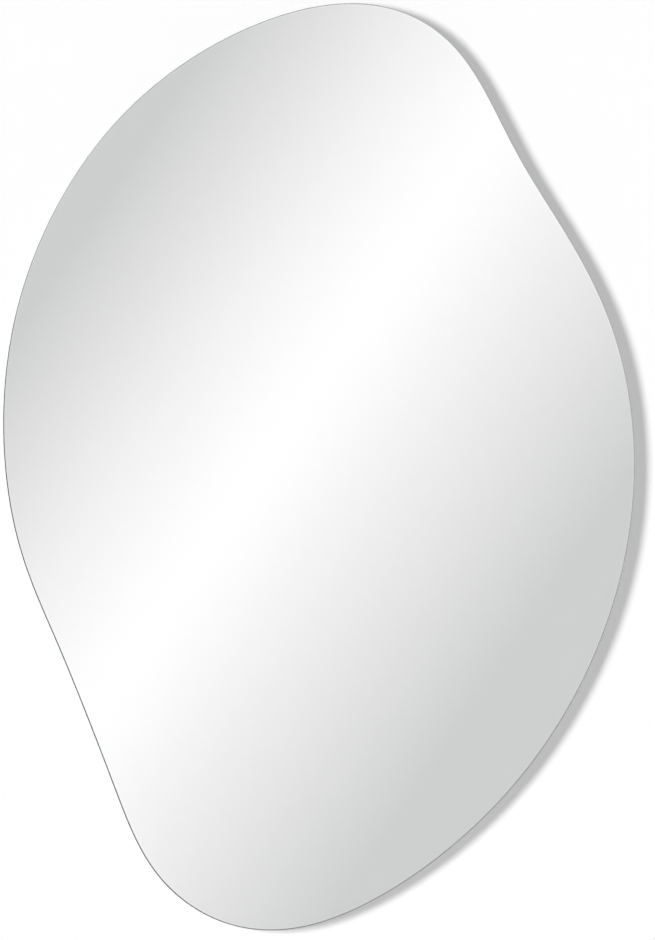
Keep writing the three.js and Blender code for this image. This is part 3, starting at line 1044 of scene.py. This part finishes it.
class MIRROR_OT_bumpers(Operator):
    """Moulded rubber bumpers with a bore for the washer and a groove round the waist"""

    bl_idname = "pebble_mirror.bumpers"
    bl_label = "Rubber Bumpers"

    def execute(self, context):
        props = settings().bumpers
        material = rubber_material(props)
        inner = ("screw", "washer")
        bumpers = [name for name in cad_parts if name.startswith("bumper_")]
        for node in sorted(name for name in bumpers if not any(word in name for word in inner)):
            centre, profile = ring_sizes(node)
            front, back = profile[:, 1].min(), profile[:, 1].max()
            hole = profile[:, 0].min()
            base = profile[:, 0].max()
            at_wall = profile[profile[:, 1] == back][:, 0]
            bore, land = at_wall.min(), at_wall.max()
            floor = profile[(profile[:, 0] < bore + SAME) & (profile[:, 1] < back - MM)][:, 1].max()
            shoulder = profile[(profile[:, 0] > land) & (profile[:, 1] > front)]
            top, top_depth = shoulder[:, 0].max(), shoulder[:, 1].max()
            waist = front + (back - front) * WAIST_SHARE
            waist_radius = base + (top - base) * WAIST_SHARE
            corners = [
                (bore, back),
                (land, back),
                (top, top_depth),
                (waist_radius, waist + 1.5 * GROOVE_DEPTH),
                (waist_radius - GROOVE_DEPTH, waist),
                (waist_radius, waist - 1.5 * GROOVE_DEPTH),
                (base, front),
                (hole, front),
                (hole, floor),
                (bore, floor),
            ]
            shape = closed_rounded(corners, props.corner_radius)
            turned_solid(f"{node}_moulded", shape, centre, 96, material, node)
        return {"FINISHED"}


# ---------------------------------------------------------------- studio


def rectangle(left, right, low, high):
    """The corners of a rectangle, anticlockwise from its lower left."""
    return (left, low), (right, low), (right, high), (left, high)


class MIRROR_OT_studio(Operator):
    """White wall, pale floor, reflected card, lamps, world and camera"""

    bl_idname = "pebble_mirror.studio"
    bl_label = "Studio"

    def execute(self, context):
        props = settings().studio
        low, high = (np.array(corner) for corner in CAD_BOX)
        metres_per_pixel = (high[2] - low[2]) / (props.mirror_bottom - props.mirror_top)
        aim_x = low[0] + (props.photo_width / 2 - props.mirror_left) * metres_per_pixel
        aim_z = high[2] - (props.photo_height / 2 - props.mirror_top) * metres_per_pixel
        floor_level = low[2] - props.floor_drop
        self.wall(context, floor_level)
        self.floor(context, floor_level)
        self.card(context, props, (aim_x, aim_z), metres_per_pixel)
        self.lamps(context, props)
        self.world(context, props)
        self.camera(context, props, (aim_x, aim_z), metres_per_pixel)
        context.scene.view_settings.view_transform = "Standard"
        return {"FINISHED"}

    def sheet(self, context, name, corners, material, hidden_from=()):
        """A flat four-cornered sheet of the studio, hidden from some kinds of rays."""
        mesh = bpy.data.meshes.new(name)
        mesh.from_pydata(corners, [], [(0, 1, 2, 3)])
        mesh.materials.append(material)
        sheet = bpy.data.objects.new(name, mesh)
        context.scene.collection.objects.link(sheet)
        for kind in hidden_from:
            setattr(sheet, f"visible_{kind}", False)
        return sheet

    def pale_surface(self, name, albedo, glow=(1, 1, 1)):
        """A matt pale surface that is only there from its front, so that the object can be looked
        at from behind and below."""
        shader = Shader(
            name,
            Base_Color=(albedo, albedo, albedo, 1),
            Roughness=1.0,
            Specular_IOR_Level=0.0,
            Emission_Color=(*glow, 1),
        )
        clear = shader.add("ShaderNodeBsdfTransparent").outputs[0]
        behind = shader.add("ShaderNodeNewGeometry").outputs["Backfacing"]
        shown = shader.blend(behind, shader.surface.outputs[0], clear)
        shader.feed(shown, shader.tree.nodes["Material Output"].inputs["Surface"])
        return shader

    def wall(self, context, floor_level):
        """The wall behind the mirror. It looks lighter than it is lit, without lighting anything.
        Its glow is a trace warmer than white, against the cool light off the painted back."""
        shader = self.pale_surface("studio_wall", 0.75, glow=(1.01, 0.992, 0.995))
        looked_at = shader.seen_by("Camera", "Glossy", "Transmission")
        glow = shader.math("MULTIPLY", looked_at, settings().studio.wall_glow)
        shader.link(glow, "Emission Strength")
        reach, top, behind = 6.0, 5.0, 0.0003
        corners = [(x, behind, z) for x, z in rectangle(-reach, reach, floor_level, top)]
        unseen = ("shadow", "diffuse", "glossy", "transmission")
        self.sheet(context, "studio_wall", corners, shader.material, unseen)

    def floor(self, context, level):
        """The floor. Its reflection fades away from the wall, down to the studio's plain tone."""
        reach, near = 8.0, 1.5
        near_glow, far_glow = 0.64, 0.36
        shader = self.pale_surface("studio_floor", 0.6)
        away = shader.parts(shader.place())["Y"]
        mirrored = shader.spread(away, -reach, -near, far_glow, near_glow)
        reflected = shader.math("MULTIPLY", shader.seen_by("Glossy", "Transmission"), mirrored)
        glow = shader.math("MULTIPLY_ADD", shader.seen_by("Camera"), near_glow, reflected)
        shader.link(glow, "Emission Strength")
        corners = [(x, y, level) for x, y in rectangle(-reach, reach, -reach, reach)]
        self.sheet(context, "studio_floor", corners, shader.material)

    def card(self, context, props, aim, metres_per_pixel):
        """The card that the mirror reflects. Its middle carries a diagonal band of light. Round
        that, the light swings from dark at the upper right to pale at the lower right, and the
        bevels of the glass show it; beyond, it is plain."""
        half = 2.6
        ring_starts, plain_starts = (1.1, 1.35), (2.2, 2.5)
        material = bpy.data.materials.new("reflected_card")
        nodes = Nodes(material, clear=True)
        place = nodes.place()
        # The photo's tone depends on t = (across cos s + down sin s) / BAND_HALF from the middle,
        # s being the band's slope. The ramp reads 0.5 + t / 2 on the card, where the photo's
        # lengths are magnified.
        magnified = 1 + props.card_distance / props.camera_distance
        scale = 0.5 / (BAND_HALF * metres_per_pixel * magnified)
        turn = {"Rotation": (0, -BAND_SLOPE, 0), "Scale": (scale,) * 3, "Location": (0.5, 0, 0)}
        turned_place = nodes.add("ShaderNodeMapping", {"Vector": place} | turn).outputs[0]
        band_stops = [(0.5 + t / 2, tone) for t, tone in BAND_TONES]
        band = nodes.ramp(nodes.parts(turned_place)["X"], band_stops)
        upright = {"Vector": place, "Rotation": (math.radians(-90), 0, 0)}
        facing = {0: nodes.add("ShaderNodeMapping", upright).outputs[0]}
        swing = nodes.add("ShaderNodeTexGradient", facing, gradient_type="RADIAL")
        ring_stops = [(0.5 + angle / 360, tone) for angle, tone in BEVEL_TONES]
        ring = nodes.ramp(swing.outputs["Fac"], ring_stops)
        reach = nodes.add("ShaderNodeVectorMath", {0: place}, operation="LENGTH").outputs["Value"]
        inner = nodes.mix(nodes.spread(reach, *ring_starts), band, ring)
        look = nodes.mix(nodes.spread(reach, *plain_starts), inner, (*PLAIN, 1))
        light = nodes.add("ShaderNodeEmission", {"Color": look, "Strength": 1 / MIRRORED})
        nodes.add("ShaderNodeOutputMaterial", {"Surface": light.outputs[0]})
        corners = [(-half, 0, -half), (-half, 0, half), (half, 0, half), (half, 0, -half)]
        unseen = ("camera", "diffuse", "shadow")
        card = self.sheet(context, "reflected_card", corners, material, unseen)
        card.location = (aim[0], -props.card_distance, aim[1])

    def lamps(self, context, props):
        """The key light, which throws the mirror's shadow on the wall, and two lamps behind the
        wall that light the back of the mirror."""
        key = bpy.data.lights.new("key", "SUN")
        key.energy = props.key_strength
        key.angle = props.key_spread
        rim_depth = cad_depths("mirror_glass")[1]
        self.aim(context, key, (-props.shadow_right, rim_depth, props.shadow_down))
        for name, strength, direction in (
            ("rear_left", 1.5, (-0.7, 1.0, 0.8)),
            ("rear_right", 1.1, (0.9, 1.0, 0.3)),
        ):
            lamp = bpy.data.lights.new(name, "SUN")
            lamp.energy = strength
            lamp.angle = math.radians(25)
            self.aim(context, lamp, direction)

    def aim(self, context, light, direction):
        """Hangs a sun lamp so that it shines from this direction."""
        lamp = bpy.data.objects.new(light.name, light)
        context.scene.collection.objects.link(lamp)
        x, y, z = direction
        lamp.rotation_euler = (math.atan2(math.hypot(x, y), z), 0, math.atan2(x, -y))
        lamp.visible_glossy = False
        lamp.visible_transmission = False

    def world(self, context, props):
        """White to the camera, a soft light on the object, and a pale studio in reflections. Behind
        the wall, where only the fixings look, the reflections swing from floor to ceiling."""
        world = context.scene.world or bpy.data.worlds.new("studio")
        context.scene.world = world
        nodes = Nodes(world, clear=True)
        across, deep, up = nodes.parts(nodes.place("Generated"))
        slope = nodes.spread(nodes.math("MULTIPLY_ADD", across, 0.35, up), -1.0, 1.0)
        behind = nodes.spread(deep, 0.02, 0.25)
        around = nodes.mix(behind, (*PLAIN, 1), nodes.ramp(slope, REAR_TONES))
        white = (1, 1, 1, 1)
        soft, background, studio = (
            nodes.add("ShaderNodeBackground", {0: colour, 1: strength}).outputs[0]
            for colour, strength in (
                (white, props.world_strength),
                (white, 1.0),
                (around, 1 / MIRRORED),
            )
        )
        unseen = nodes.blend(nodes.seen_by("Glossy", "Transmission"), soft, studio)
        seen = nodes.blend(nodes.seen_by("Camera"), unseen, background)
        nodes.add("ShaderNodeOutputWorld", {"Surface": seen})

    def camera(self, context, props, aim, metres_per_pixel):
        """Looks square at the mirror, with the photo's long lens."""
        camera = bpy.data.cameras.new("camera")
        viewer = bpy.data.objects.new("camera", camera)
        context.scene.collection.objects.link(viewer)
        rim_depth = cad_depths("mirror_glass")[1]
        viewer.location = (aim[0], rim_depth - props.camera_distance, aim[1])
        viewer.rotation_euler = (math.pi / 2, 0, 0)
        camera.sensor_width = 36.0
        height_seen = props.photo_height * metres_per_pixel
        camera.lens = camera.sensor_width * props.camera_distance / height_seen
        camera.clip_end = 100.0
        context.scene.camera = viewer


# ---------------------------------------------------------------- add-on


PIECES = (
    MIRROR_OT_glass,
    MIRROR_OT_silver,
    MIRROR_OT_paint,
    MIRROR_OT_tape,
    MIRROR_OT_board,
    MIRROR_OT_rails,
    MIRROR_OT_screws,
    MIRROR_OT_washers,
    MIRROR_OT_bumpers,
    MIRROR_OT_studio,
)


class MIRROR_PT_panel(Panel):
    """Lists the mirror's pieces and settings in the sidebar"""

    bl_label = "Pebble Wall Mirror"
    bl_idname = "MIRROR_PT_panel"
    bl_space_type = "VIEW_3D"
    bl_region_type = "UI"
    bl_category = "Mirror"

    def draw(self, context):
        props = context.scene.pebble_mirror
        for group in (props.glass, props.backing, props.fixings, props.bumpers, props.studio):
            box = self.layout.box()
            for name in group.bl_rna.properties.keys():
                if name not in ("rna_type", "name"):
                    box.prop(group, name)
        for operator in PIECES:
            self.layout.operator(operator.bl_idname)


CLASSES = (
    GlassSettings,
    BackingSettings,
    FixingSettings,
    BumperSettings,
    StudioSettings,
    MirrorSettings,
    *PIECES,
    MIRROR_PT_panel,
)


def register():
    for cls in CLASSES:
        bpy.utils.register_class(cls)
    bpy.types.Scene.pebble_mirror = PointerProperty(type=MirrorSettings)


def unregister():
    del bpy.types.Scene.pebble_mirror
    for cls in reversed(CLASSES):
        bpy.utils.unregister_class(cls)


def main():
    register()
    for operator in PIECES:
        group, name = operator.bl_idname.split(".")
        getattr(getattr(bpy.ops, group), name)()


if __name__ == "__main__":
    main()
